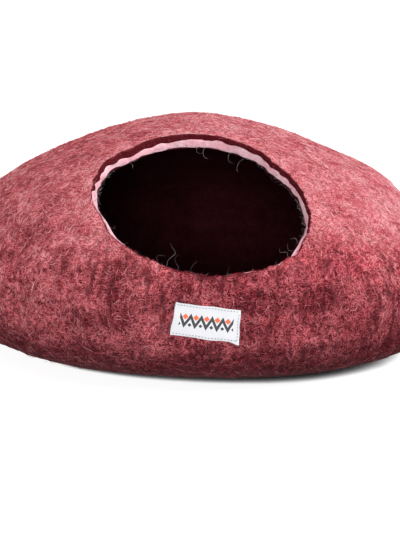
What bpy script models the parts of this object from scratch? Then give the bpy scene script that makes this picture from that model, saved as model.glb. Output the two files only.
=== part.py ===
# Pet cave bed: one seamless shell of thick wool felt, open at a round mouth high on its front,
# with a small woven label stitched on below the mouth.
# Metres, +Z up, the front towards -Y, the origin on the floor under the middle of the bed.
import bmesh
import bpy
import numpy as np

# Felt shell. A pair holds the value on the left side and the one on the right.
HALF_WIDTH = 0.250              # half of the width, and of the depth, at the widest line
HEIGHT = 0.226
WIDEST_HEIGHT = (0.090, 0.070)  # how high the widest line runs
SHOULDER_FULLNESS = (1.76, 1.33)  # 2 is a plain ellipse, less is a leaner, more pointed dome
WALL_FULLNESS = 1.95            # the same for the roll of the felt just above the widest line
BASE_SQUARENESS = 3.0           # 2 is a plain ellipse, more is a flatter base with tighter corners
BASE_SINK = 0.006               # how deep the floor flattens the round of the base
CROWN_SHIFT = -0.0047           # how far the crown leans to the right of the widest line
BASE_SHIFT = -0.0037            # how far the base has slid to the right of the widest line
FELT_THICKNESS = 0.013
EDGE_WEAR = 0.0015              # rounding of the cut edges of the felt

# Soft bulges and hollows: azimuth from +X in degrees, climb (-1 under the base, 0 at the widest line, +1 at
# the crown), half spread round the cave in degrees, half spread in climb, height
BULGES = (
    (8.0, 0.50, 28.0, 0.11, 0.0070),
    (5.0, 0.32, 35.0, 0.22, -0.0050),
    (175.0, 0.61, 40.0, 0.25, -0.0030),
    (20.0, 0.75, 40.0, 0.16, 0.0023),
    (-50.0, -0.45, 38.0, 0.40, 0.0067),
    (-140.0, -0.45, 38.0, 0.40, 0.0057),
    (50.0, -0.45, 38.0, 0.40, 0.0060),
    (140.0, -0.45, 38.0, 0.40, 0.0060),
)

# Mouth: a slightly oval, slightly wavy hole cut straight through along its own axis
MOUTH_CENTRE = (-0.0036, -0.1635, 0.1624)
MOUTH_RISE = 58.25              # degrees that its axis points above the floor
MOUTH_TURN = 3.95               # degrees that its axis points to the right of the front
MOUTH_RADIUS = 0.0958
# Waves of its edge: lobes round the mouth, height, angle of the first crest in degrees
MOUTH_WAVES = (
    (2, 0.0058, -46.5),
    (3, 0.0017, -40.0),
    (4, 0.0012, -29.0),
)

# Mesh of the shell: rings run from the mouth over the cave and close under the base
SEGMENTS = 64
RINGS = 32
MAP_CENTRE = (0.0, -0.40)       # where the mouth's middle lies on a flat map seen from the base
MAP_REACH = 2.0                 # how far out on that map the mouth's edge is looked for, radians
HALVINGS = 40                   # steps that narrow down where the edge lies

# Label
LABEL_SIZE = (0.057, 0.0285)
LABEL_MIDDLE = (0.0014, 0.0708)  # across, and above the floor
LABEL_TURN = 7.3                # degrees clockwise, seen from the front
LABEL_THICKNESS = 0.001
LABEL_CELLS = (12, 6)
LABEL_START = 0.02              # how far in front of the felt the flat label is made
GAP = 0.0003                    # kept between the label and the felt

# Colours (linear red, green, blue), roughness
FELT_RED = ((0.265, 0.095, 0.105), 0.95)
CORE_PINK = ((0.720, 0.360, 0.390), 0.95)
LINING_DARK = ((0.030, 0.006, 0.008), 0.98)
LABEL_WHITE = ((0.860, 0.860, 0.870), 0.55)


def clear_scene():
    for item in list(bpy.data.objects):
        bpy.data.objects.remove(item, do_unlink=True)


def new_material(name, look):
    colour, roughness = look
    material = bpy.data.materials.new(name)
    material.use_nodes = True
    shader = material.node_tree.nodes["Principled BSDF"]
    shader.inputs["Base Color"].default_value = (*colour, 1.0)
    shader.inputs["Roughness"].default_value = roughness
    shader.inputs["Metallic"].default_value = 0.0
    material.diffuse_color = (*colour, 1.0)
    return material


def move_to(collection, item):
    for holder in list(item.users_collection):
        holder.objects.unlink(item)
    collection.objects.link(item)


def side_mix(pair, azimuth):
    """Blend smoothly from the left value of a pair to the right one, round the cave."""
    left, right = pair
    return left + (right - left) * (0.5 + 0.5 * np.cos(azimuth))


def cave_surface(azimuth, climb):
    """Outer face of the felt: a full dome above the widest line, a squarer round below it,
    cut flat by the floor, with the soft bulges pushed out along the felt."""
    widest = side_mix(WIDEST_HEIGHT, azimuth)
    shoulder = side_mix(SHOULDER_FULLNESS, azimuth)
    up = np.clip(climb, 0.0, 1.0) * np.pi / 2
    down = np.clip(-climb, 0.0, 1.0) * np.pi / 2
    dome_radius = HALF_WIDTH * np.cos(up)
    dome_z = widest + (HEIGHT - widest) * (1 - np.cos(up) ** shoulder) ** (1 / WALL_FULLNESS)
    base_radius = HALF_WIDTH * np.maximum(np.cos(down), 0.0) ** (2 / BASE_SQUARENESS)
    base_z = widest - (widest + BASE_SINK) * np.sin(down) ** (2 / BASE_SQUARENESS)
    radius = np.where(climb > 0, dome_radius, base_radius)
    z = np.where(climb > 0, dome_z, base_z)
    x = radius * np.cos(azimuth) + CROWN_SHIFT * np.sin(up) ** 2 + BASE_SHIFT * np.sin(down) ** 2
    y = radius * np.sin(azimuth)
    for middle, level, spread, level_spread, height in BULGES:
        away = (azimuth - np.radians(middle) + np.pi) % (2 * np.pi) - np.pi
        fade = (away / np.radians(spread)) ** 2 + ((climb - level) / level_spread) ** 2
        push = height * np.exp(-fade)
        slope = level * np.pi / 2
        x = x + push * np.cos(slope) * np.cos(azimuth)
        y = y + push * np.cos(slope) * np.sin(azimuth)
        z = z + push * np.sin(slope)
    return np.stack([x, y, np.maximum(z, 0.0)], axis=-1)


def mouth_frame():
    """Unit vectors of the mouth: to its right, to its upper edge, and straight out of it."""
    rise, turn = np.radians(MOUTH_RISE), np.radians(MOUTH_TURN)
    right = np.array([np.cos(turn), np.sin(turn), 0.0])
    out = np.array([np.cos(rise) * np.sin(turn), -np.cos(rise) * np.cos(turn), np.sin(rise)])
    return right, np.cross(out, right), out


def inside_mouth(points):
    """True where a point lies within the cut, seen along the mouth's axis."""
    right, upper, _ = mouth_frame()
    offset = points - np.array(MOUTH_CENTRE)
    across, along = offset @ right, offset @ upper
    angle = np.arctan2(along, across)
    edge = MOUTH_RADIUS
    for lobes, height, crest in MOUTH_WAVES:
        edge = edge + height * np.cos(lobes * (angle - np.radians(crest)))
    return np.hypot(across, along) < edge


def surface_from_map(reach, around):
    """Point of the felt at an angular distance and a direction from the mouth's middle. The map
    is a stereographic one: its middle is the crown, and its far rim is the middle of the base."""
    width = np.tan(reach / 2)
    east = MAP_CENTRE[0] + width * np.cos(around)
    north = MAP_CENTRE[1] + width * np.sin(around)
    from_crown = 2 * np.arctan(np.hypot(east, north))
    return cave_surface(np.arctan2(north, east), 1 - from_crown / (np.pi / 2))


def mouth_reach(around):
    """Distance on the map at which the mouth's edge lies, found by halving."""
    low = np.zeros_like(around)
    high = np.full_like(around, MAP_REACH)
    for _ in range(HALVINGS):
        middle = (low + high) / 2
        within = inside_mouth(surface_from_map(middle, around))
        low = np.where(within, middle, low)
        high = np.where(within, high, middle)
    return high


def cave_from_ball(ball):
    """Carry the points of a unit ball, whose top cap is gone, onto the felt."""
    polar = np.arccos(np.clip(ball[:, 2], -1.0, 1.0))
    around = np.arctan2(ball[:, 1], ball[:, 0])
    first_ring = np.pi / RINGS
    share = np.clip((polar - first_ring) / (np.pi - first_ring), 0.0, 1.0)
    edge = mouth_reach(around)
    return surface_from_map(edge + share * (np.pi - edge), around)


def build_felt_shell(collection):
    bpy.ops.mesh.primitive_uv_sphere_add(segments=SEGMENTS, ring_count=RINGS)
    shell = bpy.context.object
    shell.name = shell.data.name = "felt_shell"
    move_to(collection, shell)

    mesh_tool = bmesh.new()
    mesh_tool.from_mesh(shell.data)
    top = max(mesh_tool.verts, key=lambda vert: vert.co.z)
    bmesh.ops.delete(mesh_tool, geom=[top], context="VERTS")
    mesh_tool.to_mesh(shell.data)
    mesh_tool.free()

    points = np.empty(len(shell.data.vertices) * 3)
    shell.data.vertices.foreach_get("co", points)
    points = cave_from_ball(points.reshape(-1, 3))
    shell.data.vertices.foreach_set("co", points.ravel())
    shell.data.update()
    shell.data.shade_smooth()

    shell.data.materials.append(new_material("felt_red", FELT_RED))
    shell.data.materials.append(new_material("lining_dark", LINING_DARK))
    shell.data.materials.append(new_material("core_pink", CORE_PINK))
    wall = shell.modifiers.new("felt_thickness", "SOLIDIFY")
    wall.thickness = FELT_THICKNESS
    wall.offset = -1.0
    wall.use_even_offset = True
    wall.material_offset = 1
    wall.material_offset_rim = 2
    wear = shell.modifiers.new("worn_edges", "BEVEL")
    wear.width = EDGE_WEAR
    wear.segments = 1
    wear.limit_method = "ANGLE"
    wear.angle_limit = np.radians(60)
    return shell


def build_label(collection, shell):
    columns, rows = LABEL_CELLS
    bpy.ops.mesh.primitive_grid_add(x_subdivisions=columns, y_subdivisions=rows, size=1.0)
    label = bpy.context.object
    label.name = label.data.name = "label"
    move_to(collection, label)
    label.scale = (LABEL_SIZE[0], LABEL_SIZE[1], 1.0)
    bpy.ops.object.transform_apply(location=False, rotation=False, scale=True)
    label.location = (LABEL_MIDDLE[0], -HALF_WIDTH - LABEL_START, LABEL_MIDDLE[1])
    label.rotation_euler = (np.radians(90), np.radians(LABEL_TURN), 0.0)
    label.data.materials.append(new_material("label_white", LABEL_WHITE))

    lie_on = label.modifiers.new("lie_on_felt", "SHRINKWRAP")
    lie_on.target = shell
    lie_on.wrap_method = "PROJECT"
    lie_on.use_project_z = True
    lie_on.use_negative_direction = True
    lie_on.use_positive_direction = False
    lie_on.wrap_mode = "ABOVE_SURFACE"
    lie_on.offset = GAP
    cloth = label.modifiers.new("label_thickness", "SOLIDIFY")
    cloth.thickness = LABEL_THICKNESS
    cloth.offset = 1.0
    return label


def main():
    clear_scene()
    collection = bpy.data.collections.new("pet_cave_bed")
    bpy.context.scene.collection.children.link(collection)
    shell = build_felt_shell(collection)
    build_label(collection, shell)


main()
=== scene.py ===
import bpy
import numpy as np
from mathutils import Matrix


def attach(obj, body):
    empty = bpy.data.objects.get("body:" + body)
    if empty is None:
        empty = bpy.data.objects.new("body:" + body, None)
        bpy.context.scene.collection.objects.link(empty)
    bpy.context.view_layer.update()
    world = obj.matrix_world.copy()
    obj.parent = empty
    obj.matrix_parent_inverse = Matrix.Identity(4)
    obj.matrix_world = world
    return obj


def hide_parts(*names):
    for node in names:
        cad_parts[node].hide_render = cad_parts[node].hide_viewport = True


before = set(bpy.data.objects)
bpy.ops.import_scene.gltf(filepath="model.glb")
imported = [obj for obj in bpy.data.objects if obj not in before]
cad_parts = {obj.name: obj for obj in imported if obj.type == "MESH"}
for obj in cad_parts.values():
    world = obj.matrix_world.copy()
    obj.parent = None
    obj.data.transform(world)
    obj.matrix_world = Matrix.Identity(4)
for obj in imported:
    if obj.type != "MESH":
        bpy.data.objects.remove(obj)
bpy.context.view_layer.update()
print("pet cave bed: frame loaded")


# Small helpers

def linearColour(hexText):
    # sRGB hex to the linear colour that shaders take
    values = np.array([int(hexText[i:i + 2], 16) for i in (1, 3, 5)]) / 255
    linear = np.where(values <= 0.04045, values / 12.92, ((values + 0.055) / 1.055) ** 2.4)
    return (*linear.tolist(), 1.0)


def addNode(tree, kind, inputs=(), **settings):
    # one node with its settings; inputs are by name or in order, and each is a value, the socket that
    # feeds it, or the node whose first output does
    node = tree.nodes.new("ShaderNode" + kind)
    for name, value in settings.items():
        setattr(node, name, value)
    for place, value in inputs.items() if isinstance(inputs, dict) else enumerate(inputs):
        if isinstance(value, bpy.types.Node):
            value = value.outputs[0]
        if isinstance(value, bpy.types.NodeSocket):
            tree.links.new(value, node.inputs[place])
        else:
            node.inputs[place].default_value = value
    return node


def rampColours(node, stops):
    # stops: (position, hex) from left to right
    elements = node.color_ramp.elements
    while len(elements) < len(stops):
        elements.new(0.5)
    for element, (position, colour) in zip(elements, stops):
        element.position = position
        element.color = linearColour(colour)


def startMaterial(name, values):
    # a material, its tree, and its Principled BSDF with those values on its own sockets
    material = bpy.data.materials.new(name)
    material.use_nodes = True
    tree = material.node_tree
    shader = tree.nodes["Principled BSDF"]
    for socket, value in values.items():
        shader.inputs[socket].default_value = value
    return material, tree, shader


def makeMesh(name, points, quads, triangles, material, attributes=None):
    # whole arrays straight into a mesh, smooth shaded, its object left at the origin
    mesh = bpy.data.meshes.new(name)
    points, quads, triangles = (np.ascontiguousarray(a) for a in (points, quads, triangles))
    mesh.vertices.add(len(points))
    mesh.vertices.foreach_set("co", points.astype(np.float32).ravel())
    corners = np.concatenate([quads.ravel(), triangles.ravel()]).astype(np.int32)
    sizes = np.concatenate([np.full(len(quads), 4), np.full(len(triangles), 3)])
    mesh.loops.add(len(corners))
    mesh.loops.foreach_set("vertex_index", corners)
    mesh.polygons.add(len(sizes))
    mesh.polygons.foreach_set("loop_start", (np.cumsum(sizes) - sizes).astype(np.int32))
    mesh.polygons.foreach_set("use_smooth", np.ones(len(sizes), bool))
    mesh.update(calc_edges=True)
    for key, values in (attributes or {}).items():
        kind, field = ("FLOAT_VECTOR", "vector") if values.ndim == 2 else ("FLOAT", "value")
        attribute = mesh.attributes.new(key, kind, "POINT")
        attribute.data.foreach_set(field, values.astype(np.float32).ravel())
    mesh.materials.append(material)
    mesh.validate()
    piece = bpy.data.objects.new(name, mesh)
    bpy.context.scene.collection.objects.link(piece)
    return piece


def turnFrom(angle, middle):
    # how far an angle lies from that middle in degrees, between -pi and pi
    return (angle - np.radians(middle) + np.pi) % (2 * np.pi) - np.pi


def softStep(value, low, high):
    # 0 at low, 1 at high, an S curve between them; low may be the larger
    t = np.clip((value - low) / (high - low), 0, 1)
    return t * t * (3 - 2 * t)


def woolNoise(points, size, seed):
    # smooth random field from -1 to 1: random values on a lattice of that size, joined by S curves
    lattice = np.random.default_rng(seed).uniform(-1, 1, (32, 32, 32))
    scaled = np.asarray(points) / size
    cell = np.floor(scaled).astype(int)
    part = scaled - cell
    part = part * part * (3 - 2 * part)
    total = np.zeros(scaled.shape[:-1])
    for corner in np.ndindex(2, 2, 2):
        weight = np.prod(np.where(corner, part, 1 - part), axis=-1)
        i, j, k = np.moveaxis((cell + corner) % 32, -1, 0)
        total += weight * lattice[i, j, k]
    return total


# The form of the felt, in metres. A pair holds the left and the right value.
cave = dict(
    halfWidth=0.250, height=0.226, widestHeight=(0.090, 0.070), shoulderFullness=(1.76, 1.33),
    wallFullness=1.95, baseSquareness=3.0, baseSink=0.006, crownShift=-0.0047, baseShift=-0.0037,
    # azimuth, climb, spread round, spread in climb, height
    bulges=((8, 0.50, 28, 0.11, 0.0070), (5, 0.32, 35, 0.22, -0.0050), (175, 0.61, 40, 0.25, -0.0030),
            (20, 0.75, 40, 0.16, 0.0023), (-50, -0.45, 38, 0.40, 0.0067), (-140, -0.45, 38, 0.40, 0.0057),
            (50, -0.45, 38, 0.40, 0.0060), (140, -0.45, 38, 0.40, 0.0060),
            (28, 0.50, 42, 0.26, -0.0034), (152, 0.50, 42, 0.26, -0.0034)))
mouth = dict(
    centre=(-0.0036, -0.1635, 0.1624), rise=58.25, turn=3.95, radius=0.0958,
    # lobes, height, first crest: the last three are the small waves of a cut by hand
    waves=((2, 0.0058, -46.5), (3, 0.0017, -40), (4, 0.0012, -29),
           (7, 0.0007, 8), (11, 0.0005, 17), (16, 0.0004, 5)),
    # stretches where the lip stands fuller or less full: angle, spread or spreads, height
    fuller=((92, (36, 22), 0.0034), (144, 10, 0.0025), (123, 8, -0.0015)),
    mapCentre=(0.0, -0.40), mapReach=2.0)


def sideMix(pair, azimuth):
    # from the left value to the right one as the cosine of the azimuth goes from -1 to 1
    return pair[0] + (pair[1] - pair[0]) * (0.5 + 0.5 * np.cos(azimuth))


def caveSurface(azimuth, climb):
    # radius = half width times a cosine, height = widest + rise times (1 - cos^a)^(1/b), a squarer
    # ellipse below the widest line, bell-shaped bulges added along the felt, cut flat at the floor
    widest = sideMix(cave["widestHeight"], azimuth)
    up = np.clip(climb, 0, 1) * np.pi / 2
    down = np.clip(-climb, 0, 1) * np.pi / 2
    domeZ = widest + (cave["height"] - widest) * (
        1 - np.cos(up) ** sideMix(cave["shoulderFullness"], azimuth)) ** (1 / cave["wallFullness"])
    power = 2 / cave["baseSquareness"]
    baseZ = widest - (widest + cave["baseSink"]) * np.sin(down) ** power
    radius = cave["halfWidth"] * np.where(climb > 0, np.cos(up), np.maximum(np.cos(down), 0) ** power)
    x = (radius * np.cos(azimuth) + cave["crownShift"] * np.sin(up) ** 2
         + cave["baseShift"] * np.sin(down) ** 2)
    y = radius * np.sin(azimuth)
    z = np.where(climb > 0, domeZ, baseZ)
    for middle, level, spread, levelSpread, height in cave["bulges"]:
        away = turnFrom(azimuth, middle)
        push = height * np.exp(-(away / np.radians(spread)) ** 2 - ((climb - level) / levelSpread) ** 2)
        slope = level * np.pi / 2
        x = x + push * np.cos(slope) * np.cos(azimuth)
        y = y + push * np.cos(slope) * np.sin(azimuth)
        z = z + push * np.sin(slope)
    return np.stack([x, y, np.maximum(z, 0)], axis=-1)


def mouthFrame():
    # the mouth's own axes: to its right, up along it, and out of it
    rise, turn = np.radians(mouth["rise"]), np.radians(mouth["turn"])
    right = np.array([np.cos(turn), np.sin(turn), 0])
    out = np.array([np.cos(rise) * np.sin(turn), -np.cos(rise) * np.cos(turn), np.sin(rise)])
    return right, np.cross(out, right), out


def mouthAngle(points):
    # a point's angle and distance in the plane of the mouth, 0 on the right and 90 degrees on top
    right, upper, _ = mouthFrame()
    offset = points - np.array(mouth["centre"])
    return np.arctan2(offset @ upper, offset @ right), np.hypot(offset @ upper, offset @ right)


def angleBump(angle, middle, spread):
    # a bell round that angle in degrees; a pair of spreads is for before it and after it
    away = turnFrom(angle, middle)
    before, after = spread if isinstance(spread, tuple) else (spread, spread)
    return np.exp(-(away / np.radians(np.where(away < 0, before, after))) ** 2)


def sumOfBells(angle, bells):
    # bells: angle in degrees, spread, height
    return sum(height * angleBump(angle, middle, spread) for middle, spread, height in bells)


def insideMouth(points):
    # nearer to the axis than the radius plus cosine waves and the fuller stretches of the lip
    angle, distance = mouthAngle(points)
    edge = mouth["radius"] + sumOfBells(angle, mouth["fuller"])
    for lobes, height, crest in mouth["waves"]:
        edge = edge + height * np.cos(lobes * (angle - np.radians(crest)))
    return distance < edge


def mapAngles(reach, around):
    # a stereographic map of the cave whose middle is the crown and whose far rim is the base
    width = np.tan(reach / 2)
    east = mouth["mapCentre"][0] + width * np.cos(around)
    north = mouth["mapCentre"][1] + width * np.sin(around)
    return np.arctan2(north, east), 1 - 4 / np.pi * np.arctan(np.hypot(east, north))


def mouthReach(around):
    # how far out on the map the cut edge lies, by halving
    low, high = np.zeros_like(around), np.full_like(around, mouth["mapReach"])
    for _ in range(40):
        middle = (low + high) / 2
        within = insideMouth(caveSurface(*mapAngles(middle, around)))
        low, high = np.where(within, middle, low), np.where(within, high, middle)
    return high


def layRows(columns, nearEdge, shownRows, baseRows, shownShare=0.80):
    # columns run round the mouth; along each, rows lie at fixed distances from the cut edge and
    # then evenly by arc length, fewer on the flat base; returns points and those distances
    around = np.arange(columns) / columns * 2 * np.pi
    edge = mouthReach(around)
    steps = np.linspace(0, 1, 500)[:, None]
    reach = edge + steps * (np.pi - edge)
    path = caveSurface(*mapAngles(reach, around))
    length = np.vstack([np.zeros(columns), np.cumsum(np.linalg.norm(np.diff(path, axis=0), axis=-1), axis=0)])
    wanted = np.vstack([
        np.repeat(np.array(nearEdge)[:, None], columns, axis=1),
        nearEdge[-1] + np.linspace(0, 1, shownRows + 1)[1:, None] * (length[-1] * shownShare - nearEdge[-1]),
        length[-1] * (shownShare + (1 - shownShare) * np.linspace(0, 1, baseRows + 1)[1:, None])])
    rowReach = np.stack([np.interp(wanted[:, c], length[:, c], reach[:, c]) for c in range(columns)], axis=1)
    azimuth, climb = mapAngles(rowReach, around)
    return caveSurface(azimuth, climb), wanted


def gridNormals(points):
    # cross product of the steps along both directions of the grid, pointing out of the cave
    sideways = np.roll(points, -1, axis=1) - np.roll(points, 1, axis=1)
    along = np.gradient(points, axis=0)
    normal = np.cross(along, sideways)
    normal /= np.maximum(np.linalg.norm(normal, axis=-1, keepdims=True), 1e-12)
    normal[-1] = (0, 0, -1)
    if np.mean(normal[..., 2] * (points[..., 2] - 0.1)) < 0:
        normal[:-1] *= -1
    return normal


def ringFaces(ringCount, columns, firstIndex=0):
    # quads between rings of vertices, then a fan at each end to a single pole vertex
    ring = firstIndex + np.arange(ringCount * columns).reshape(ringCount, columns)
    here, there = ring[:-1], ring[1:]
    corners = [here, there, np.roll(there, -1, axis=1), np.roll(here, -1, axis=1)]
    quads = np.stack(corners, axis=-1).reshape(-1, 4)
    firstPole, lastPole = firstIndex + ringCount * columns, firstIndex + ringCount * columns + 1
    first, last = ring[0], ring[-1]
    fans = np.concatenate([
        np.stack([np.full(columns, firstPole), first, np.roll(first, -1)], axis=-1),
        np.stack([np.full(columns, lastPole), np.roll(last, -1), last], axis=-1)])
    return quads, fans


def closedShell(name, rings, firstPole, lastPole, material, **shares):
    # rings from the middle of the base up the outside, over the cut edge and down the inside
    columns = rings.shape[1]
    quads, fans = ringFaces(len(rings), columns)
    points = np.vstack([rings.reshape(-1, 3), firstPole, lastPole])
    a, b, c = points[quads[:, 0]], points[quads[:, 1]], points[quads[:, 2]]
    if np.einsum("ij,ij->i", a, np.cross(b, c)).sum() < 0:
        quads, fans = quads[:, ::-1], fans[:, ::-1]
    values = {key: np.append(np.broadcast_to(share.reshape(len(rings), -1), rings.shape[:2]).ravel(), [0, 0])
              for key, share in shares.items()}
    return makeMesh(name, points, quads, fans, material, values)


# Felt layers: red outside, pink core, dark lining, each a closed shell, 0.05 mm apart
layers = dict(
    columns=520, shownRows=142, baseRows=10, cutRings=4,
    redDepth=0.0060, pinkDepth=0.0120, fullDepth=0.0130, gap=0.00005,
    # rounding of the corners of the cut: red, pink and lining outside, all of them inside
    rimRound=0.0015, pinkRound=0.0008, liningRound=0.0003, innerRound=0.0005,
    nearEdge=(0, 0.00012, 0.00045, 0.0010, 0.0017, 0.0028, 0.0044, 0.0066),
    # the upper lip is thicker: angle on the mouth, spreads, share, how far back that goes
    swell=(100, (38, 62), 0.17, 0.012), edgeFade=0.005)
# The uneven lines of the cut. A line is its seed and height; a bell is an angle on the mouth, its spread
# and its height.
rim = dict(
    notch=(174, (6, 12)), notchThinning=0.0048, notchRecess=0.0012, calm=(203, 32, 0.8),
    redLine=(21, 0.0009), pinkLine=(22, 0.0005), liningLine=(23, 0.0003), liningBack=0.0008,
    redBoundary=(24, 0.0005), redBells=((120, 16, 0.0010), (72, 26, -0.0012)),
    pinkBoundary=(25, 0.0005), pinkLimits=(-0.0009, 0.0006),
    pinkBells=((12, 26, -0.0012), (145, 20, -0.0009)),
    # the red is darker this near to the cut, and carries a painted highlight in a band along it: width,
    # rise of tone, and the share of that all round and at an angle on the mouth with its spread
    darkCut=(0.0016, 0.0003), lipHighlightWidth=0.012, lipHighlightRise=0.14, lipHighlightAround=0.35, lipHighlightTop=(70, 75),
    # where the pink stands past the red
    pinkLips=((194, 18, 0.0015), (211, 13, 0.0018), (240, 14, 0.0006),
              (322, 20, 0.0021), (292, 12, 0.0008)))
lumps = dict(
    # size, height, seed
    sizes=((0.034, 0.0011, 11), (0.018, 0.0010, 12), (0.011, 0.0007, 13), (0.0065, 0.00035, 14)),
    topShare=0.35, topFrom=0.10, topTo=0.17)
# upright creases, low on the wall, in patches
creases = dict(width=0.0120, stretch=0.30, depth=0.0025, patch=0.050, top=(0.165, 0.11), foot=(0.004, 0.03))
label = dict(
    size=(0.057, 0.0285), middle=(0.0014, 0.0708), turn=7.3, thickness=0.0006, lift=0.0009,
    clear=(0.0005, 0.009),  # the felt is smooth under it and rough again this far outside it
    cells=(96, 48), stitch=0.0015, stitchGap=0.0012, stitchInset=0.0017, stitchRadius=0.00036,
    stitchRise=0.0002, stitchPoints=7)


def labelPlace(points):
    # a point's place in the label's own plane, seen from the front: along it and up it, in metres
    turn = np.radians(label["turn"])
    x, z = points[..., 0] - label["middle"][0], points[..., 2] - label["middle"][1]
    return x * np.cos(turn) - z * np.sin(turn), x * np.sin(turn) + z * np.cos(turn)


def besideLabel(points):
    # 0 under the label, 1 from 9 mm outside it
    along, up = labelPlace(points)
    outside = np.maximum(np.abs(along) - label["size"][0] / 2, np.abs(up) - label["size"][1] / 2)
    return np.where(points[..., 1] < 0, softStep(outside, *label["clear"]), 1)


def feltRelief(points):
    # height of the matted surface over the plain form: soft lumps less the creases, none on the floor
    z = points[..., 2]
    height = sum(rise * woolNoise(points + 5, size, seed) for size, rise, seed in lumps["sizes"])
    top = softStep(z, lumps["topTo"], lumps["topFrom"])
    height = height * (lumps["topShare"] + (1 - lumps["topShare"]) * top)
    low = softStep(z, *creases["top"]) * softStep(z, *creases["foot"])
    upright = woolNoise(points * np.array([1, 1, creases["stretch"]]) + 7, creases["width"], 15)
    patch = softStep(woolNoise(points + 9, creases["patch"], 16), -0.55, 0.05)
    height = height - creases["depth"] * softStep(-upright, 0.0, 0.5) * patch * low
    return height * besideLabel(points) * softStep(z, 0.002, 0.016)


# broad patches, darker where the change of tone falls and lighter where it rises; those on the front are
# painted shade and painted light: azimuth, spread round, height, spread up, change of tone
shadeAndTonePatches = ((-80, 34, 0.094, 0.028, -0.25), (-38, 24, 0.050, 0.036, -0.18), (-95, 60, 0.030, 0.022, -0.08),
           (-150, 30, 0.160, 0.040, -0.10), (120, 40, 0.070, 0.030, -0.10), (30, 30, 0.050, 0.025, -0.09),
           (-165, 45, 0.205, 0.020, -0.12), (150, 60, 0.190, 0.030, -0.08), (-90, 25, 0.218, 0.008, 0.10),
           (200, 25, 0.050, 0.025, -0.09), (80, 30, 0.150, 0.040, -0.05),
           (-22, 30, 0.125, 0.045, 0.34))


def patchShadeAndTone(points):
    # the sum of the patches of painted shade, light and tone, each a bell both round the cave and up it
    azimuth = np.arctan2(points[..., 1], points[..., 0])
    tone = np.zeros(azimuth.shape)
    for middle, spread, level, levelSpread, change in shadeAndTonePatches:
        away = turnFrom(azimuth, middle)
        tone = tone + change * np.exp(-(away / np.radians(spread)) ** 2
                                      - ((points[..., 2] - level) / levelSpread) ** 2)
    return tone


def rimWave(line):
    # a closed uneven line round the mouth: eight broad waves and six fine low ones of random size and place
    seed, height = line
    rng = np.random.default_rng(seed)
    lobes = np.append(rng.integers(9, 52, 8), rng.integers(60, 100, 6))
    sizes = rng.uniform(0.3, 1, 14) * np.repeat((1, 0.25), (8, 6))
    waves = (size * np.sin(n * rimAngle + rng.uniform(0, 6.3)) for n, size in zip(lobes, sizes))
    return height * sum(waves) / 2


form, distance = layRows(
    layers["columns"], layers["nearEdge"], layers["shownRows"], layers["baseRows"])
formNormal = gridNormals(form)
formAlong = np.gradient(form, axis=0)
formAlong /= np.maximum(np.linalg.norm(formAlong, axis=-1, keepdims=True), 1e-12)
rimAngle = mouthAngle(form[0])[0]
relief = feltRelief(form)
basePole = caveSurface(np.array(0.0), np.array(-1.0))
notch = angleBump(rimAngle, *rim["notch"])
calm = 1 - sumOfBells(rimAngle, [rim["calm"]])
redEdge = rimWave(rim["redLine"]) * calm + rim["notchRecess"] * notch ** 3
pinkEdge = rimWave(rim["pinkLine"]) * calm - sumOfBells(rimAngle, rim["pinkLips"])
liningEdge = rimWave(rim["liningLine"]) + rim["liningBack"]
redInside = (layers["redDepth"] - rim["notchThinning"] * notch + rimWave(rim["redBoundary"])
             + sumOfBells(rimAngle, rim["redBells"]))
pinkInside = (layers["pinkDepth"] + np.clip(rimWave(rim["pinkBoundary"]), *rim["pinkLimits"])
              + sumOfBells(rimAngle, rim["pinkBells"]))


def layerPoints(row, depth, edge, proud=0.0):
    # the form at that row, sunk by depth along its normal, its cut edge shifted away from the mouth
    fade = np.exp(-distance[row] / layers["edgeFade"])
    shift = (edge * fade)[:, None] * formAlong[row]
    middle, spreads, share, back = layers["swell"]
    swell = 1 + share * angleBump(rimAngle, middle, spreads) * np.exp(-distance[row] / back)
    return form[row] + shift - (depth * swell - proud)[:, None] * formNormal[row]


def shellRings(outerDepth, innerDepth, edge, outerRows, innerRows, corner, outerProud=None, innerProud=None):
    # rings of one layer: base pole, outer face, rounded corner, cut, inner face, back to the base pole
    still = np.zeros(layers["columns"])
    innerCorner = layers["innerRound"]
    rings = []
    for row in outerRows[::-1]:
        away = np.clip(1 - distance[row] / corner, 0, 1)
        sink = corner * (1 - np.sqrt(1 - away ** 2))
        proud = still if outerProud is None else outerProud[row]
        rings.append(layerPoints(row, outerDepth + sink + still, edge, proud * (1 - away)))
    for share in np.linspace(0, 1, layers["cutRings"] + 2)[1:-1]:
        start, end = outerDepth + corner, innerDepth - innerCorner
        rings.append(layerPoints(0, start + (end - start) * share + still, edge))
    for row in innerRows:
        away = np.clip(1 - distance[row] / innerCorner, 0, 1)
        rise = innerCorner * (1 - np.sqrt(1 - away ** 2))
        proud = still if innerProud is None else innerProud[row]
        rings.append(layerPoints(row, innerDepth - rise + still, edge, -proud * (1 - away)))
    return np.stack(rings)


def layerPoles(outerDepth, innerDepth):
    # the two middle points of a layer's base
    up = np.array([0, 0, 1.0])
    return basePole + outerDepth * up, basePole + innerDepth * up


rowCount = len(form)
edgeRows = list(range(len(layers["nearEdge"])))
shownRows = list(range(rowCount - 1))
hiddenRows = edgeRows + list(range(edgeRows[-1] + 6, rowCount - 1, 9))
print("felt form worked out:", rowCount, "rows")


# a range mapped by an S curve instead of a straight line
smooth = dict(interpolation_type="SMOOTHSTEP")


def noiseField(tree, size, detail=1, warp=None, turn=(0, 0, 0), shift=0.0):
    # noise whose blobs have that size in metres, one number or one for each axis
    sizes = size if isinstance(size, tuple) else (size, size, size)
    place = addNode(tree, "TexCoord").outputs["Object"] if warp is None else warp
    moved = addNode(tree, "Mapping", {"Vector": place, "Scale": sizes, "Rotation": turn,
                                      "Location": (shift, shift, shift)}, vector_type="TEXTURE")
    return addNode(tree, "TexNoise", {"Vector": moved, "Scale": 1, "Detail": detail})
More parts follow.
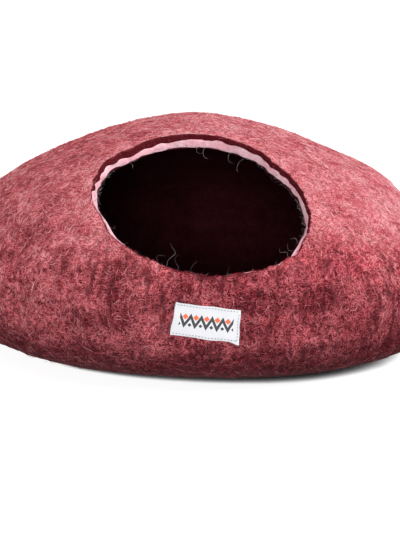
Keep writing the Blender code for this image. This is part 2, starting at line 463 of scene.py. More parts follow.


# 4 mm pits all over and upright creases of 6 x 25 mm low down, in patches: read by the felt and its
# loose fibres, which darken in them as painted shade, deeper low down, and by the felt as bump too
hollows = dict(
    pit=0.0044, pitRange=(0.53, 0.32), pitShare=0.80, topShare=0.40,
    crease=(0.0058, 0.0058, 0.025), creaseRange=(0.56, 0.34), creaseShare=0.92,
    patch=0.045, patchRange=(0.36, 0.52), low=(0.160, 0.105))


def feltHollows(tree):
    # 0 on the surface, 1 at the bottom of a hollow: the deeper one of the pits and the creases
    place = addNode(tree, "TexCoord").outputs["Object"]
    height = addNode(tree, "SeparateXYZ", [place]).outputs["Z"]
    low = addNode(tree, "MapRange", [height, *hollows["low"]], **smooth)
    found = {}
    for name, detail, shift in (("pit", 3, 4.0), ("crease", 3, 5.0), ("patch", 1, 8.0)):
        noise = noiseField(tree, hollows[name], detail, shift=shift)
        found[name] = addNode(tree, "MapRange", [noise, *hollows[name + "Range"]], **smooth)
    share = addNode(tree, "MapRange", [low, 0.0, 1.0, hollows["topShare"], hollows["pitShare"]])
    pit = addNode(tree, "Math", [found["pit"], share], operation="MULTIPLY")
    crease = found["crease"]
    for share in (found["patch"], low, hollows["creaseShare"]):
        crease = addNode(tree, "Math", [crease, share], operation="MULTIPLY")
    return addNode(tree, "Math", [pit, crease], operation="MAXIMUM")


# Blotches where more crimson wool was laid, most of them on the right
crimson = dict(across=(-0.12, 0.17, 0.40, 1.0), blotch=0.028, spots=(0.40, 0.62, 0.25, 1.0), tint="#f6d4dd")


def redderWool(tree, colour):
    # the colour times the tint, by a share that grows to the right and comes in blotches
    place = addNode(tree, "TexCoord").outputs["Object"]
    across = addNode(tree, "SeparateXYZ", [place]).outputs["X"]
    side = addNode(tree, "MapRange", [across, *crimson["across"]], **smooth)
    spots = addNode(tree, "MapRange", [noiseField(tree, crimson["blotch"], 3, shift=12.0), *crimson["spots"]])
    share = addNode(tree, "Math", [side, spots], operation="MULTIPLY")
    return addNode(tree, "Mix", {0: share, 6: colour, 7: linearColour(crimson["tint"])},
                   data_type="RGBA", blend_type="MULTIPLY").outputs[2]


# Real sizes of the felt's pattern in metres; a range is where a noise starts and ends to count
marl = dict(
    fibre=(0.0010, 0.0010, 0.0085), fibreRange=(0.60, 0.68),
    turns=((0.3, 0.2, 0.0), (1.3, 0.4, 0.5), (0.9, 1.2, 1.9), (-0.8, 0.5, 2.8), (1.6, -0.9, 1.1)),
    curl=0.0042, curlRange=(0.028, 0.0), curlPatch=0.009, curlPatchRange=(0.48, 0.58),
    swirl=0.009, swirlReach=0.005, cloud=0.030, cloudGain=1.10, cloudShift=-0.41,
    band=(0.05, 0.05, 0.011), bandGain=0.70, haze=0.008, hazeRange=(0.46, 0.66),
    paintedLightFromAbove=(0.01, 0.19), foot=(0.055, 0.012), paintedFloorShade=(0.001, 0.058, 0.36, 1.0),
    # the bump: how far a fibre rises and a hollow sinks against the fluff
    fluff=0.0011, fibreRise=0.45, hollowSink=-0.8, bump=0.0011)


# Wool felt, wet felted: no weave at all, but crimped fibres lying every way, paler than the ground,
# over hollows in painted shade. Fibres are 0.03 mm thick, drawn 0.4 mm wide so that they show.
def feltMaterial(name, look):
    material, tree, shader = startMaterial(name, {
        "Roughness": 0.95, "Specular IOR Level": 0.06, "Sheen Roughness": 0.45,
        "Sheen Weight": look["sheen"], "Sheen Tint": linearColour(look["sheenTint"])})
    place = addNode(tree, "TexCoord").outputs["Object"]
    height = addNode(tree, "SeparateXYZ", [place]).outputs["Z"]
    swirl = noiseField(tree, marl["swirl"]).outputs["Color"]
    swirl = addNode(tree, "VectorMath", [swirl, (0.5, 0.5, 0.5)], operation="SUBTRACT")
    warped = addNode(tree, "VectorMath", [swirl, (marl["swirlReach"],) * 3, place], operation="MULTIPLY_ADD")
    # straight fibres in five directions, and a few curled ones along a noise's mid value
    curled = addNode(tree, "Math", [noiseField(tree, marl["curl"], 0, warped, shift=2.0), 0.5],
                     operation="SUBTRACT")
    curled = addNode(tree, "Math", [curled], operation="ABSOLUTE")
    curled = addNode(tree, "MapRange", [curled, *marl["curlRange"]], **smooth)
    gate = noiseField(tree, marl["curlPatch"], shift=3.0)
    gate = addNode(tree, "MapRange", [gate, *marl["curlPatchRange"]], **smooth)
    lines = addNode(tree, "Math", [curled, gate], operation="MULTIPLY")
    for number, turn in enumerate(marl["turns"]):
        streak = noiseField(tree, marl["fibre"], 0, warped, turn, 0.3 * number)
        streak = addNode(tree, "MapRange", [streak, *marl["fibreRange"]], **smooth)
        lines = addNode(tree, "Math", [lines, streak], operation="MAXIMUM")
    # painted light and shade from above: the top paler than the foot; and 11 to 50 mm clouds run over both
    cloud = noiseField(tree, marl["cloud"], 4, shift=6.0)
    tone = addNode(tree, "Math", [cloud, marl["cloudGain"], marl["cloudShift"]], operation="MULTIPLY_ADD")
    band = noiseField(tree, marl["band"], 3, warped, shift=9.0)
    tone = addNode(tree, "Math", [band, marl["bandGain"], tone], operation="MULTIPLY_ADD")
    # painted shade: the tone falls from the top down, and falls further near the floor
    additions = [addNode(tree, "MapRange", [height, *marl["paintedLightFromAbove"], -look["fade"], look["fade"]]),
                 addNode(tree, "MapRange", [height, *marl["foot"], 0.0, -look["foot"]], **smooth)]
    if "cut" in look:
        # the painted highlight along the lip and the patches of painted shade, light and tone, from the
        # attribute
        additions.append(addNode(tree, "Attribute", attribute_name="patch").outputs["Fac"])
    for addition in additions:
        tone = addNode(tree, "Math", [tone, addition], operation="ADD")
    ground, fibre = addNode(tree, "ValToRGB", [tone]), addNode(tree, "ValToRGB", [tone])
    rampColours(ground, look["ground"])
    rampColours(fibre, look["fibre"])
    haze = noiseField(tree, marl["haze"], 2, shift=7.0)
    haze = addNode(tree, "MapRange", [haze, *marl["hazeRange"], 0.0, look["haze"]], **smooth)
    drawn = addNode(tree, "Math", [lines, look["lineShare"]], operation="MULTIPLY")
    # painted shade: the colour is mixed towards the pit colour in the hollows
    hollow = feltHollows(tree)
    hollowShadeShare = addNode(tree, "Math", [hollow, look["pitShare"]], operation="MULTIPLY")
    colour = ground
    for share, over in ((haze, fibre), (drawn, fibre), (hollowShadeShare, linearColour(look["pit"]))):
        colour = addNode(tree, "Mix", {0: share, 6: colour, 7: over}, data_type="RGBA").outputs[2]
    if "cut" in look:
        # painted shade: darker towards the floor
        paintedFloorShade = addNode(tree, "MapRange", [height, *marl["paintedFloorShade"]], **smooth)
        colour = addNode(tree, "VectorMath", {0: redderWool(tree, colour), 3: paintedFloorShade}, operation="SCALE")
        # where it was cut the wool is packed and darker
        packed = addNode(tree, "Attribute", attribute_name="cut").outputs["Fac"]
        packed = addNode(tree, "Math", [packed, look["cutShare"]], operation="MULTIPLY")
        colour = addNode(tree, "Mix", {0: packed, 6: colour, 7: linearColour(look["cut"])},
                         data_type="RGBA").outputs[2]
    tree.links.new(colour, shader.inputs["Base Color"])
    raised = noiseField(tree, marl["fluff"], 2, warped)
    for part, gain in ((lines, marl["fibreRise"]), (hollow, marl["hollowSink"])):
        raised = addNode(tree, "Math", [part, gain, raised], operation="MULTIPLY_ADD")
    bump = addNode(tree, "Bump", {"Height": raised, "Strength": look["bump"], "Distance": marl["bump"]})
    tree.links.new(bump.outputs[0], shader.inputs["Normal"])
    return material


# Marled red wool: red-pink ground, pale pink fibres, hollows in plum painted shade; fade and foot set the
# painted light from above and the painted shade near the floor
redFelt = feltMaterial("red wool felt", dict(
    ground=((0.05, "#280609"), (0.28, "#4c1117"), (0.50, "#7f242c"), (0.70, "#a93d46"), (0.90, "#be535b")),
    fibre=((0.05, "#8a3a44"), (0.30, "#c0666e"), (0.60, "#e5858b"), (0.90, "#fdb8bb")),
    pit="#2f0d14", pitShare=0.75, lineShare=0.82, haze=0.12, fade=0.29, foot=0.20, bump=0.8, sheen=0.04,
    sheenTint="#e8949b", cut="#570c17", cutShare=0.97))
# Pale pink wool: the middle of the felt, seen only where it is cut, denser and smoother; its pit colour is
# painted shade in the hollows
pinkFelt = feltMaterial("pink wool felt", dict(
    ground=((0.3, "#ffb0be"), (0.6, "#ffc3cf")), fibre=((0.3, "#ffc8d3"), (0.7, "#ffe4ea")),
    pit="#e98a9b", pitShare=0.45, lineShare=0.5, haze=0.3, fade=0.0, foot=0.0, bump=0.5, sheen=0.15,
    sheenTint="#ffdfe2"))
# Very dark plum wool: the lining, which swallows nearly all light; its pit colour is painted shade in the
# hollows
darkFelt = feltMaterial("dark wool felt", dict(
    ground=((0.3, "#3c1019"), (0.7, "#491922")), fibre=((0.3, "#4d1d26"), (0.7, "#5b2932")),
    pit="#26070c", pitShare=0.4, lineShare=0.4, haze=0.1, fade=0.0, foot=0.0, bump=0.7, sheen=0.05,
    sheenTint="#7a3038"))


# the share of the cut's darker colour on each ring of the red layer
upRows = shownRows[::-1]
innerRings = layers["cutRings"] + len(hiddenRows)
redCut = np.concatenate([softStep(distance[upRows, 0], *rim["darkCut"]), np.ones(innerRings)])
# a painted highlight in a band along the lip, strongest over the top of the mouth
lipHighlightShare = rim["lipHighlightAround"] + (1 - rim["lipHighlightAround"]) * angleBump(rimAngle, *rim["lipHighlightTop"])
lipHighlightAndPatches = rim["lipHighlightRise"] * np.exp(-(distance[upRows] / rim["lipHighlightWidth"]) ** 2) * lipHighlightShare
# with the patches of painted shade, light and tone added to it
lipHighlightAndPatches = np.vstack([lipHighlightAndPatches + patchShadeAndTone(form[upRows]), np.zeros((innerRings, layers["columns"]))])
red = closedShell("redFelt", shellRings(
    0.0, redInside, redEdge, shownRows, hiddenRows, layers["rimRound"], outerProud=relief),
    *layerPoles(0.0, layers["redDepth"]), redFelt, cut=redCut, patch=lipHighlightAndPatches)
pink = closedShell("pinkFelt", shellRings(
    redInside + layers["gap"], pinkInside, pinkEdge, hiddenRows, hiddenRows, layers["pinkRound"]),
    *layerPoles(layers["redDepth"] + layers["gap"], layers["pinkDepth"]), pinkFelt)
liningRelief = np.minimum(feltRelief(form + 0.3), 0.0006)
liningRows = edgeRows + list(range(edgeRows[-1] + 4, rowCount - 1, 4))
lining = closedShell("liningFelt", shellRings(
    pinkInside + layers["gap"], layers["fullDepth"], liningEdge, hiddenRows, liningRows,
    layers["liningRound"], innerProud=liningRelief),
    *layerPoles(layers["pinkDepth"] + layers["gap"], layers["fullDepth"]), darkFelt)
for piece, slotName in ((red, "felt_outer"), (pink, "felt_core"), (lining, "felt_lining")):
    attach(piece, "root")
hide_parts("felt_shell")
# felted seamless round a flat round form
print("felt layers built")


# Loose wool on the felt: each fibre is a thin three-sided strand, pointed at both ends
def strandArrays(paths, radii, upwards):
    # a ring of three points round each inner point of the path, turned by the path's own direction
    count, steps = paths.shape[:2]
    along = np.gradient(paths, axis=1)
    along /= np.maximum(np.linalg.norm(along, axis=-1, keepdims=True), 1e-12)
    side = np.cross(along, upwards[:, None])
    side /= np.maximum(np.linalg.norm(side, axis=-1, keepdims=True), 1e-12)
    over = np.cross(side, along)
    taper = np.sin(np.linspace(0, np.pi, steps)) ** 0.5
    angle = np.radians([90, 210, 330])
    ring = (np.cos(angle)[:, None] * side[:, 1:-1, None] + np.sin(angle)[:, None] * over[:, 1:-1, None])
    ring = paths[:, 1:-1, None] + ring * (radii[:, None] * taper[1:-1])[..., None, None]
    points = np.concatenate([paths[:, :1], ring.reshape(count, -1, 3), paths[:, -1:]], axis=1)
    each = points.shape[1]
    first = 1 + np.arange(steps - 3)[:, None] * 3 + np.arange(3)
    following = 1 + np.arange(steps - 3)[:, None] * 3 + (np.arange(3) + 1) % 3
    quads = np.stack([first, following, following + 3, first + 3], axis=-1).reshape(-1, 4)
    turn = (np.arange(3) + 1) % 3
    last = 1 + (steps - 3) * 3
    tips = np.concatenate([
        np.stack([np.zeros(3, int), 1 + turn, 1 + np.arange(3)], axis=-1),
        np.stack([np.full(3, each - 1), last + np.arange(3), last + turn], axis=-1)])
    start = np.arange(count)[:, None, None] * each
    return points.reshape(-1, 3), (quads + start).reshape(-1, 4), (tips + start).reshape(-1, 3), each


def strandPiece(name, paths, radii, upwards, tones, material):
    # one mesh of many strands, each with its own tone and the way out of the felt under it
    points, quads, tips, each = strandArrays(paths, radii, upwards)
    piece = makeMesh(name, points, quads, tips, material,
                     {"tone": np.repeat(tones, each), "outward": np.repeat(upwards, each, axis=0)})
    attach(piece, "root")


# An even grid over the finished red surface: share of the way from mouth to base, column round it
evenForm, _ = layRows(400, (0.0,), 300, 0, shownShare=1.0)
evenNormal = gridNormals(evenForm)
evenSkin = evenForm + feltRelief(evenForm)[..., None] * evenNormal
stepDown, stepRound = np.gradient(evenSkin, axis=0), (np.roll(evenSkin, -1, 1) - np.roll(evenSkin, 1, 1)) / 2
cellArea = np.linalg.norm(np.cross(stepDown, stepRound), axis=-1)


def onGrid(field, row, column):
    # bilinear between grid points; columns run on round the mouth
    row = np.clip(row, 0, len(field) - 1.001)
    i, j = np.floor(row).astype(int), np.floor(column).astype(int)
    a, b = (row - i)[..., None], (column - j)[..., None]
    j, k = j % field.shape[1], (j + 1) % field.shape[1]
    here = field[i, j] * (1 - a) + field[i + 1, j] * a
    beside = field[i, k] * (1 - a) + field[i + 1, k] * a
    return here * (1 - b) + beside * b


def crimpedPaths(rng, count, steps, lengths, bend, crimp):
    # heading = steady bend plus a wave; the path is its running sum, centred, in the plane
    s = np.linspace(-0.5, 0.5, steps)
    heading = (rng.uniform(0, 2 * np.pi, (count, 1)) + rng.normal(0, bend, (count, 1)) * s
               + rng.normal(0, crimp, (count, 1)) * np.sin(2 * np.pi * (rng.uniform(0.7, 1.8, (count, 1)) * s
                                                                      + rng.uniform(0, 1, (count, 1)))))
    stride = lengths[:, None] / (steps - 1)
    flat = np.stack([np.cumsum(np.cos(heading), 1), np.cumsum(np.sin(heading), 1)], -1) * stride[..., None]
    return flat - flat.mean(axis=1, keepdims=True)


def lieOnFelt(row, column, flat, height):
    # the flat path carried over the surface: its steps turned into grid steps by the local slopes
    down, sideways = onGrid(stepDown, row, column), onGrid(stepRound, row, column)
    normal = onGrid(evenNormal, row, column)
    axisA = down / np.linalg.norm(down, axis=-1, keepdims=True)
    axisB = np.cross(normal, axisA)
    moved = flat[..., :1] * axisA[:, None] + flat[..., 1:] * axisB[:, None]
    pairs = ((down, down), (sideways, sideways), (down, sideways))
    dd, rr, dr = (np.einsum("ij,ij->i", a, b)[:, None] for a, b in pairs)
    md, mr = np.einsum("isj,ij->is", moved, down), np.einsum("isj,ij->is", moved, sideways)
    bottom = dd * rr - dr ** 2
    rows = np.clip(row[:, None] + (md * rr - mr * dr) / bottom, 0, len(evenSkin) - 2)
    columns = column[:, None] + (mr * dd - md * dr) / bottom
    skin, out = onGrid(evenSkin, rows, columns), onGrid(evenNormal, rows, columns)
    path = skin + out * height[..., None]
    path[..., 2] = np.maximum(path[..., 2], 0.0006)
    return path, normal


def pickSpots(rng, count, weight):
    # random places on the grid, as likely as each cell's area times its weight
    share = (cellArea * weight).ravel()
    spot = rng.choice(share.size, count, p=share / share.sum())
    row, column = np.divmod(spot, evenSkin.shape[1])
    return row + rng.uniform(-0.5, 0.5, count), column + rng.uniform(-0.5, 0.5, count)


# length, radius and lift in metres; bend and crimp in radians; pale is the share of pale fibres
fibres = (
    dict(name="longFibres", seed=41, count=5600, steps=7, length=(0.009, 0.019), radius=(0.00018, 0.00029),
         bend=1.2, crimp=0.5, lift=0.0004, pale=0.85),
    dict(name="shortFibresA", seed=42, count=10400, steps=5, length=(0.005, 0.012), radius=(0.00018, 0.00030),
         bend=0.9, crimp=0.4, lift=0.0003, pale=0.45),
    dict(name="shortFibresB", seed=43, count=9600, steps=5, length=(0.005, 0.012), radius=(0.00016, 0.00027),
         bend=0.9, crimp=0.4, lift=0.0004, pale=0.45),
    dict(name="shortFibresC", seed=44, count=3400, steps=5, length=(0.004, 0.010), radius=(0.00013, 0.00020),
         bend=0.9, crimp=0.4, lift=0.0008, pale=0.70))

# Loose crimped wool fibre: matt, lit mostly as the felt under it so that no strand has a hard dark side
looseWool, woolTree, woolShader = startMaterial(
    "loose wool fibre", {"Roughness": 0.8, "Specular IOR Level": 0.08})
toneValue = addNode(woolTree, "Attribute", attribute_name="tone").outputs["Fac"]
# painted shade: fibres darker where they lie over the felt's hollows
fibreHollowShade = addNode(woolTree, "MapRange", [feltHollows(woolTree), 0.0, 1.0, 1.04, 0.56])
toneValue = addNode(woolTree, "Math", [toneValue, fibreHollowShade], operation="MULTIPLY")
toneRamp = addNode(woolTree, "ValToRGB", [toneValue])
rampColours(toneRamp, (
    (0.0, "#3a0b11"), (0.22, "#6c1a22"), (0.48, "#aa3840"), (0.72, "#de7278"), (1.0, "#fdc2c4")))
# painted shade: dimmer towards the foot, as on the felt
woolPlace = addNode(woolTree, "TexCoord").outputs["Object"]
woolHeight = addNode(woolTree, "SeparateXYZ", [woolPlace]).outputs["Z"]
paintedFootShade = addNode(woolTree, "MapRange", [woolHeight, 0.008, 0.105, 0.26, 1.0], **smooth)
paintedFootShade = addNode(woolTree, "VectorMath", {0: redderWool(woolTree, toneRamp), 3: paintedFootShade}, operation="SCALE")
woolTree.links.new(paintedFootShade.outputs[0], woolShader.inputs["Base Color"])
ownNormal = addNode(woolTree, "NewGeometry").outputs["Normal"]
feltNormal = addNode(woolTree, "Attribute", attribute_name="outward").outputs["Vector"]
softNormal = addNode(woolTree, "Mix", {0: 0.65, 4: ownNormal, 5: feltNormal}, data_type="VECTOR").outputs[1]
softNormal = addNode(woolTree, "VectorMath", [softNormal], operation="NORMALIZE")
woolTree.links.new(softNormal.outputs[0], woolShader.inputs["Normal"])

offFloor = softStep(evenSkin[..., 2], 0.008, 0.032)
for kind in fibres:
    rng = np.random.default_rng(kind["seed"])
    count, steps = kind["count"], kind["steps"]
    row, column = pickSpots(rng, count, offFloor * besideLabel(evenSkin))
    lengths = rng.uniform(*kind["length"], count)
    flat = crimpedPaths(rng, count, steps, lengths, kind["bend"], kind["crimp"])
    s = np.linspace(-1, 1, steps)
    # some lift at their middle, some at one end, most hardly at all
    share = rng.uniform(0, 1, (count, 1)) ** 3
    shape = np.where(rng.uniform(0, 1, (count, 1)) < 0.5, 1 - s ** 2, ((s + 1) / 2) ** 2)
    radii = rng.uniform(*kind["radius"], count)
    height = radii[:, None] * 0.5 + kind["lift"] * 3 * share * shape
    paths, upwards = lieOnFelt(row, column, flat, height)
    # painted light from above: paler near the top and the lip
    paintedLightFromAbove = softStep(paths[:, 0, 2], 0.03, 0.19)
    pale = rng.uniform(0, 1, count) < kind["pale"]
    tones = np.where(pale, rng.uniform(0.66, 1.0, count) + 0.06 * paintedLightFromAbove,
                     rng.uniform(0.36, 0.58, count) + 0.14 * paintedLightFromAbove)
    # with the patches of painted shade, light and tone, as on the felt
    tones = np.maximum(tones + 0.7 * patchShadeAndTone(paths[:, 0]), 0.2)
    strandPiece(kind["name"], paths, radii, upwards, tones, looseWool)
print("loose fibres laid")


# Wool at the cut: short ends that stand into the mouth, coloured as the layer they grow from
rimFuzz = dict(
    count=2000, seed=51, steps=6, length=(0.0012, 0.0050), radius=(0.00009, 0.00015),
    # depth of the roots in the lining and in the felt, and where the red wool ends
    liningDepth=(0.0118, 0.0129), feltDepth=(0.0004, 0.0118), redDepth=0.0055,
    # the lower lip, an angle on the mouth and its spread, has more, and more of them from the lining
    lower=(262, 62), elsewhere=0.2, liningShare=(0.45, 0.35), liningLength=1.2, feltLength=0.60,
    curlSteps=18, curlRadius=0.00014,
    # single long curls: angle on the mouth, depth of the root, length, sway, turns, tone
    curls=((88, 0.0115, 0.027, 0.0035, 1.3, 0.75), (84, 0.0120, 0.022, -0.0040, 0.8, 0.85),
           (62, 0.0115, 0.028, 0.0070, 1.1, 0.80), (58, 0.0120, 0.031, -0.0060, 0.9, 0.65),
           (247, 0.0110, 0.024, 0.0045, 1.2, 0.75), (252, 0.0120, 0.018, -0.0050, 1.0, 0.50),
           (262, 0.0120, 0.015, 0.0035, 0.9, 0.40), (240, 0.0110, 0.013, -0.0040, 1.3, 0.55),
           (318, 0.0120, 0.014, 0.0035, 1.4, 0.80), (324, 0.0120, 0.012, -0.0030, 1.2, 0.70),
           (330, 0.0120, 0.011, 0.0025, 1.1, 0.80), (282, 0.0120, 0.012, 0.0030, 1.0, 0.35),
           (200, 0.0120, 0.008, 0.0025, 1.2, 0.50), (216, 0.0120, 0.007, -0.0025, 1.1, 0.50)))

# Undyed grey ends among the lining's dark wool
greyWool, greyTree, greyShader = startMaterial(
    "grey wool ends", {"Roughness": 0.85, "Specular IOR Level": 0.2})
greyTone = addNode(greyTree, "Attribute", attribute_name="tone").outputs["Fac"]
greyRamp = addNode(greyTree, "ValToRGB", [greyTone])
rampColours(greyRamp, ((0.0, "#3a2f31"), (0.5, "#82767a"), (1.0, "#c9bfc2")))
greyTree.links.new(greyRamp.outputs[0], greyShader.inputs["Base Color"])


def rimRoots(columns, depth):
    # root points on the cut face, with the way into the mouth, along the rim and out of the felt there
    i = np.floor(columns).astype(int) % layers["columns"]
    root = form[0][i] - depth[:, None] * formNormal[0][i]
    inward = -formAlong[0][i]
    alongRim = np.cross(formNormal[0][i], inward)
    return root + 0.0002 * formAlong[0][i], inward, alongRim, formNormal[0][i]


rng = np.random.default_rng(rimFuzz["seed"])
count = rimFuzz["count"]
lower = angleBump(rimAngle, *rimFuzz["lower"])
crowding = rimFuzz["elsewhere"] + lower
column = rng.choice(layers["columns"], count, p=crowding / crowding.sum())
liningLeast, liningMore = rimFuzz["liningShare"]
fromLining = rng.uniform(0, 1, count) < liningLeast + liningMore * lower[column]
depth = np.where(fromLining, rng.uniform(*rimFuzz["liningDepth"], count),
                 rng.uniform(*rimFuzz["feltDepth"], count))
root, inward, alongRim, outward = rimRoots(column, depth)
s = np.linspace(0, 1, rimFuzz["steps"])[None, :, None]
lengths = rng.uniform(*rimFuzz["length"], count)[:, None, None] * rng.uniform(0.3, 1, (count, 1, 1))
lengths = lengths * np.where(fromLining, rimFuzz["liningLength"], rimFuzz["feltLength"])[:, None, None]
sway = rng.normal(0, 0.8, (count, 1, 1)) * s + rng.normal(0, 0.35, (count, 1, 1)) * np.sin(4 * s)
nod = rng.normal(0.1, 0.5, (count, 1, 1)) * s
paths = root[:, None] + lengths * (s * inward[:, None] + sway * alongRim[:, None] + nod * outward[:, None])
radii = rng.uniform(*rimFuzz["radius"], count)
tones = np.where(depth < rimFuzz["redDepth"], rng.uniform(0.1, 0.8, count), rng.uniform(0.75, 1, count))
strandPiece("rimFuzz", paths[~fromLining], radii[~fromLining], outward[~fromLining], tones[~fromLining],
            looseWool)
greys = rng.uniform(0, 1, count) ** 2
strandPiece("liningFuzz", paths[fromLining], radii[fromLining], outward[fromLining], greys[fromLining],
            greyWool)

curls = np.array(rimFuzz["curls"])
column = np.argmin(np.abs(turnFrom(rimAngle, curls[:, :1])), axis=1)
root, inward, alongRim, outward = rimRoots(column, curls[:, 1])
s = np.linspace(0, 1, rimFuzz["curlSteps"])[None, :, None]
length, sway, turns = (curls[:, k, None, None] for k in (2, 3, 4))
# a falling spiral: straight into the mouth, swinging along the rim and out of the felt as it goes
swing = 2 * np.pi * turns * s
paths = (root[:, None] + length * s * inward[:, None] + sway * np.sin(swing) * s * alongRim[:, None]
         + sway * (1 - np.cos(swing)) * s * outward[:, None])
radii = np.full(len(curls), rimFuzz["curlRadius"])
strandPiece("rimCurls", paths, radii, outward, 0.8 * curls[:, 5], greyWool)
print("wool at the cut laid")


# Label: woven white satin, sewn on by a grey running stitch along top, foot and right end
def wallFit():
    # the front wall behind the label as a cubic in x and z, fitted to the form: powers and their factors
    azimuth, climb = np.meshgrid(np.linspace(-1.78, -1.36, 80), np.linspace(-0.6, 0.4, 400))
    points = caveSurface(azimuth, climb).reshape(-1, 3)
    along, up = labelPlace(points)
    near = points[(np.abs(along) < 0.034) & (np.abs(up) < 0.020)]
    powers = [(i, j) for i in range(4) for j in range(4 - i)]
    x, z = near[:, 0] - label["middle"][0], near[:, 2] - label["middle"][1]
    terms = np.stack([x ** i * z ** j for i, j in powers], 1)
    factors = np.linalg.lstsq(terms, near[:, 1], rcond=None)[0]
    return list(zip(powers, factors))


def wallBehind(x, z):
    # the fitted wall and the way out of it
    x, z = x - label["middle"][0], z - label["middle"][1]
    y = sum(f * x ** i * z ** j for (i, j), f in wall)
    byX = sum(f * i * x ** (i - 1) * z ** j for (i, j), f in wall if i)
    byZ = sum(f * j * x ** i * z ** (j - 1) for (i, j), f in wall if j)
    normal = np.stack([byX, -np.ones_like(x), byZ], axis=-1)
    normal /= np.linalg.norm(normal, axis=-1, keepdims=True)
    return np.stack([x + label["middle"][0], y, z + label["middle"][1]], axis=-1), normal


wall = wallFit()


def labelPoint(along, up, lift):
    # along and up are -1 to 1 over the label: narrower at its top, edges a little wavy, one corner loose
    halfLong, halfHigh = label["size"][0] / 2, label["size"][1] / 2
    corner = softStep(along - up, 1.72, 2.0)
    wide = halfLong * (1 - 0.032 * up) * (1 - 0.010 * np.sin(5 * up + 1))
    tall = halfHigh * (1 + 0.018 * np.sin(4.1 * along + 0.6) + 0.010 * np.sin(9 * along))
    u, v = along * wide + 0.0004 * corner, up * tall - 0.0016 * corner
    turn = np.radians(label["turn"])
    x = label["middle"][0] + u * np.cos(turn) + v * np.sin(turn)
    z = label["middle"][1] - u * np.sin(turn) + v * np.cos(turn)
    behind, normal = wallBehind(x, z)
    edge = softStep(np.maximum(np.abs(along), np.abs(up)), 0.80, 1.0)
    puff = 0.00025 * np.sin(7 * along + 2) * np.sin(4 * up) + 0.0003 * edge * np.sin(6 * along + 5 * up)
    return behind + normal * (label["lift"] + lift + puff + 0.0016 * corner)[..., None], normal


cellsAlong, cellsUp = label["cells"]
along, up = np.meshgrid(np.linspace(-1, 1, cellsAlong + 1), np.linspace(-1, 1, cellsUp + 1))
cloth, clothNormal = labelPoint(along, up, np.zeros_like(along))
index = np.arange(cloth[..., 0].size).reshape(along.shape)
quads = np.stack([index[:-1, :-1], index[:-1, 1:], index[1:, 1:], index[1:, :-1]], axis=-1).reshape(-1, 4)

# A zigzag of 9.2 mm steps, 8.4 mm high, with a diamond in each valley and a smaller one under each
# hill, in millimetres. The ribs of the weave, 0.4 mm apart, are drawn at 0.6 mm.
motif = dict(
    step=9.2, swing=4.2, width=2.4, reach=23.0, diamond=2.6, small=1.7, offset=3.4, rib=0.6, warp=0.9,
    shade="#c4c5ca", white="#dedee2", charcoal="#2b2c30", orange="#e0602c")
# Woven satin ribbon, polyester: white with a soft shine across its threads
satin, satinTree, satinShader = startMaterial("woven satin", {"Roughness": 0.42, "Sheen Weight": 0.15})
sums = {name: addNode(satinTree, "Attribute", attribute_name=name).outputs["Fac"]
        for name in ("alongMm", "upMm")}
# the pattern step by step: the result's name, an operation, and the numbers or results that it takes
for name, operation, *values in (
        ("aside", "PINGPONG", "alongMm", motif["step"] / 2),  # from the middle of the nearest valley
        ("wave", "MULTIPLY_ADD", "aside", 4 * motif["swing"] / motif["step"], -motif["swing"]),
        ("zigzag", "COMPARE", "upMm", "wave", motif["width"]),
        ("above", "SUBTRACT", "upMm", motif["offset"]),
        ("above", "ABSOLUTE", "above"),
        ("valley", "ADD", "aside", "above"),
        ("diamond", "LESS_THAN", "valley", motif["diamond"]),
        ("below", "ADD", "upMm", motif["offset"]),
        ("below", "ABSOLUTE", "below"),
        ("hill", "SUBTRACT", motif["step"] / 2, "aside"),
        ("hill", "ADD", "hill", "below"),
        ("small", "LESS_THAN", "hill", motif["small"]),
        ("within", "COMPARE", "alongMm", 0.0, motif["reach"]),
        ("charcoal", "MAXIMUM", "zigzag", "small"),
        ("charcoal", "MULTIPLY", "charcoal", "within"),
        ("orange", "MULTIPLY", "diamond", "within"),
        ("ribs", "MULTIPLY", "upMm", 2 * np.pi / motif["rib"]),
        ("ribs", "SINE", "ribs"),
        ("warp", "MULTIPLY", "alongMm", 2 * np.pi / motif["warp"]),
        ("warp", "SINE", "warp"),
        ("weave", "MULTIPLY_ADD", "warp", 0.3, "ribs")):
    taken = [sums[value] if isinstance(value, str) else value for value in values]
    sums[name] = addNode(satinTree, "Math", taken, operation=operation)
sums["white"] = addNode(satinTree, "MapRange", [sums["weave"], -1.3, 1.3])
inked = linearColour(motif["shade"])
for name in ("white", "charcoal", "orange"):
    inked = addNode(satinTree, "Mix", {0: sums[name], 6: inked, 7: linearColour(motif[name])},
                    data_type="RGBA").outputs[2]
satinTree.links.new(inked, satinShader.inputs["Base Color"])
satinBump = addNode(satinTree, "Bump", {"Height": sums["weave"], "Strength": 0.35, "Distance": 0.0002})
satinTree.links.new(satinBump.outputs[0], satinShader.inputs["Normal"])

labelCloth = makeMesh("labelCloth", cloth.reshape(-1, 3), quads, np.zeros((0, 3), int), satin,
                      {"alongMm": (along * label["size"][0] * 500).ravel(),
                       "upMm": (up * label["size"][1] * 500).ravel()})
thickness = labelCloth.modifiers.new("cloth thickness", "SOLIDIFY")
thickness.thickness, thickness.offset = label["thickness"], -1
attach(labelCloth, "root")
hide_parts("label")

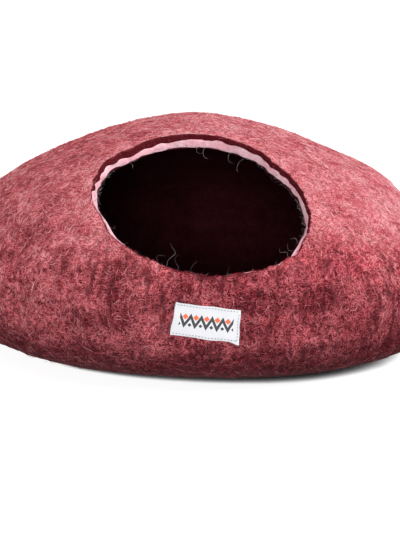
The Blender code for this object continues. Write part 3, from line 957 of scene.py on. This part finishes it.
# Sewing thread: grey polyester, each stitch a short raised strand that dips into the cloth at its ends
threadGrey = startMaterial("grey sewing thread", {"Base Color": linearColour("#66676d"), "Roughness": 0.6})[0]
halfLong, halfHigh = label["size"][0] / 2, label["size"][1] / 2
stitch, inset = label["stitch"], label["stitchInset"]
pitch = stitch + label["stitchGap"]
t = np.linspace(0, 1, label["stitchPoints"])
alongStarts = np.arange(-halfLong + inset, halfLong - inset - stitch, pitch)
upStarts = np.arange(-halfHigh + inset, halfHigh - inset - stitch, pitch)
alongStitches = (alongStarts[:, None] + stitch * t) / halfLong
upStitches = (upStarts[:, None] + stitch * t) / halfHigh
stitchAlong = np.concatenate([alongStitches, alongStitches, np.full(upStitches.shape, 1 - inset / halfLong)])
stitchUp = np.concatenate([np.full(alongStitches.shape, -(1 - inset / halfHigh)),
                           np.full(alongStitches.shape, 1 - inset / halfHigh), upStitches])
raised = np.broadcast_to(label["stitchRise"] * np.sin(np.pi * t) + 0.00002, stitchAlong.shape)
stitches, stitchNormal = labelPoint(stitchAlong, stitchUp, raised)
strandPiece("labelStitches", stitches, np.full(len(stitches), label["stitchRadius"]),
            stitchNormal[:, len(t) // 2], np.ones(len(stitches)), threadGrey)
print("label sewn on")


studio = dict(
    horizon=0.45, zenith=0.52, floorGlow=0.92, floorReach=40.0,
    # the painted contact shadow from left to right: from x, to x, value there, value there
    contact=(-0.10, 0.22, 0.0036, 0.0098), darkest=(-0.28, -0.12, 0.6, 0.0), nearness=(0.25, 0.95),
    # W/m2, size and turn in degrees
    lamps=(("mainLight", 2.7, 40, (18, 38, 0)), ("frontLight", 0.90, 20, (80, 0, -4))))
view = dict(lens=100.27, rise=10, distance=1.5, aimHeight=0.1, shift=(-0.0088, -0.0542))


# Plain floor, light and camera
floorMaterial, floorTree, floorShader = startMaterial("glowing white paper", {
    "Base Color": linearColour("#a0a0a0"), "Roughness": 1.0, "Specular IOR Level": 0.0,
    "Emission Color": (1, 1, 1, 1)})
# paper glowing evenly bright, with a painted contact shadow only where it nearly touches the felt, more on
# the right
floorPlace = addNode(floorTree, "TexCoord").outputs["Object"]
rightward = addNode(floorTree, "SeparateXYZ", [floorPlace]).outputs["X"]
contact = addNode(floorTree, "MapRange", [rightward, *studio["contact"]])
darkest = addNode(floorTree, "MapRange", [rightward, *studio["darkest"]])
nearness = addNode(floorTree, "AmbientOcclusion", {"Distance": contact}, samples=8).outputs["AO"]
paperGlow = addNode(floorTree, "MapRange", [nearness, *studio["nearness"], darkest, studio["floorGlow"]])
floorTree.links.new(paperGlow.outputs[0], floorShader.inputs["Emission Strength"])
floorCorners = np.array([(-1, -1, 0), (1, -1, 0), (1, 1, 0), (-1, 1, 0)]) * studio["floorReach"]
floor = makeMesh("floor", floorCorners, np.array([(0, 1, 2, 3)]), np.zeros((0, 3), int), floorMaterial)

scene = bpy.context.scene
world = bpy.data.worlds.new("studio")
scene.world = world
world.use_nodes = True
sky = world.node_tree
direction = addNode(sky, "TexCoord").outputs["Generated"]
upward = addNode(sky, "SeparateXYZ", [direction]).outputs["Z"]
strength = addNode(sky, "MapRange", [upward, 0.0, 1.0, studio["horizon"], studio["zenith"]])
sky.links.new(strength.outputs[0], sky.nodes["Background"].inputs["Strength"])
sky.nodes["Background"].inputs["Color"].default_value = (1, 1, 1, 1)

for lampName, energy, spread, turn in studio["lamps"]:
    lamp = bpy.data.lights.new(lampName, "SUN")
    lamp.energy = energy
    lamp.angle = np.radians(spread)
    lampObject = bpy.data.objects.new(lampName, lamp)
    lampObject.rotation_euler = tuple(np.radians(turn))
    scene.collection.objects.link(lampObject)

camera = bpy.data.cameras.new("camera")
camera.lens = view["lens"]
camera.sensor_width = 36
camera.shift_x, camera.shift_y = view["shift"]
cameraObject = bpy.data.objects.new("camera", camera)
rise = np.radians(view["rise"])
back, lift = view["distance"] * np.cos(rise), view["distance"] * np.sin(rise)
cameraObject.location = (0, -back, view["aimHeight"] + lift)
cameraObject.rotation_euler = (np.pi / 2 - rise, 0, 0)
scene.collection.objects.link(cameraObject)
scene.camera = cameraObject
scene.view_settings.view_transform = "Standard"
print("stage set")
